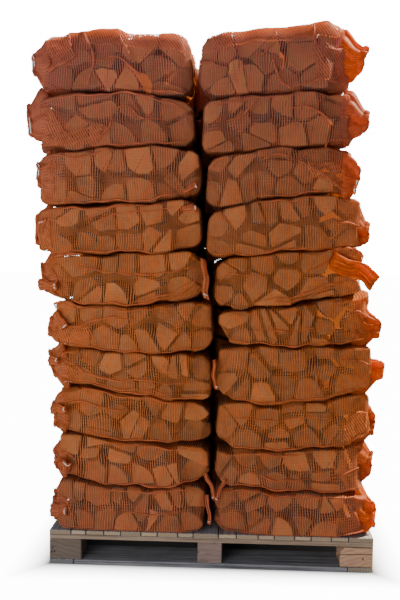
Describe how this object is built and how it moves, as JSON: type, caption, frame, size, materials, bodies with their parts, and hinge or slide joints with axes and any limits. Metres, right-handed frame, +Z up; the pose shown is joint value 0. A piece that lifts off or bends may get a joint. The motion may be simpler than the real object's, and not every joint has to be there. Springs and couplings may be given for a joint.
{
  "type": "pallet of firewood sacks",
  "caption": "Wooden block pallet stacked high with net sacks of split firewood, two columns side by side, log ends to the front.",
  "frame": {"origin": "on the floor under the middle of the pallet, on the underside of the middle runner", "axes": "+Z up, +X to the right along the pallet's front, +Y from the front with the log ends to the back"},
  "size_m": [1.26, 1, 1.9722],
  "materials": {
    "net": "open net of knitted bright orange polyethylene tape, a little shiny, stretched over the logs",
    "log_wood": "sawn and split firewood, dry and rough, with growth rings and short cracks on its ends",
    "bark": "dry furrowed bark on the round side of the logs",
    "draw_string": "thin white twisted polyethylene string in the hem of each mouth",
    "deck_wood": "rough sawn softwood boards, weathered grey",
    "base_wood": "rough sawn softwood, partly weathered, with saw marks and cracks on the block ends"
  },
  "bodies": {
    "root": {"block_back_left": "base_wood", "block_back_middle": "base_wood", "block_back_right": "base_wood", "block_front_left": "base_wood", "block_front_middle": "base_wood", "block_front_right": "base_wood", "block_middle_left": "base_wood", "block_middle_middle": "base_wood", "block_middle_right": "base_wood", "bottom_cross_board_back": "base_wood", "bottom_cross_board_front": "base_wood", "bottom_runner_left": "base_wood", "bottom_runner_middle": "base_wood", "bottom_runner_right": "base_wood", "deck_board_01": "deck_wood", "deck_board_02": "deck_wood", "deck_board_03": "deck_wood", "deck_board_04": "deck_wood", "deck_board_05": "deck_wood", "deck_board_06": "deck_wood", "deck_board_07": "deck_wood", "deck_board_08": "deck_wood", "deck_board_09": "deck_wood", "deck_board_10": "deck_wood", "deck_board_11": "deck_wood", "deck_board_12": "deck_wood", "deck_board_13": "deck_wood", "deck_board_14": "deck_wood", "deck_board_15": "deck_wood", "deck_board_16": "deck_wood", "deck_board_17": "deck_wood", "sack_row_left_01": "net", "sack_row_left_02": "net", "sack_row_left_03": "net", "sack_row_left_04": "net", "sack_row_left_05": "net", "sack_row_left_06": "net", "sack_row_left_07": "net", "sack_row_left_08": "net", "sack_row_left_09": "net", "sack_row_left_10": "net", "sack_row_right_01": "net", "sack_row_right_02": "net", "sack_row_right_03": "net", "sack_row_right_04": "net", "sack_row_right_05": "net", "sack_row_right_06": "net", "sack_row_right_07": "net", "sack_row_right_08": "net", "sack_row_right_09": "net", "sack_row_right_10": "net", "stringer_board_back": "base_wood", "stringer_board_front": "base_wood", "stringer_board_middle": "base_wood"}
  },
  "joints": []
}
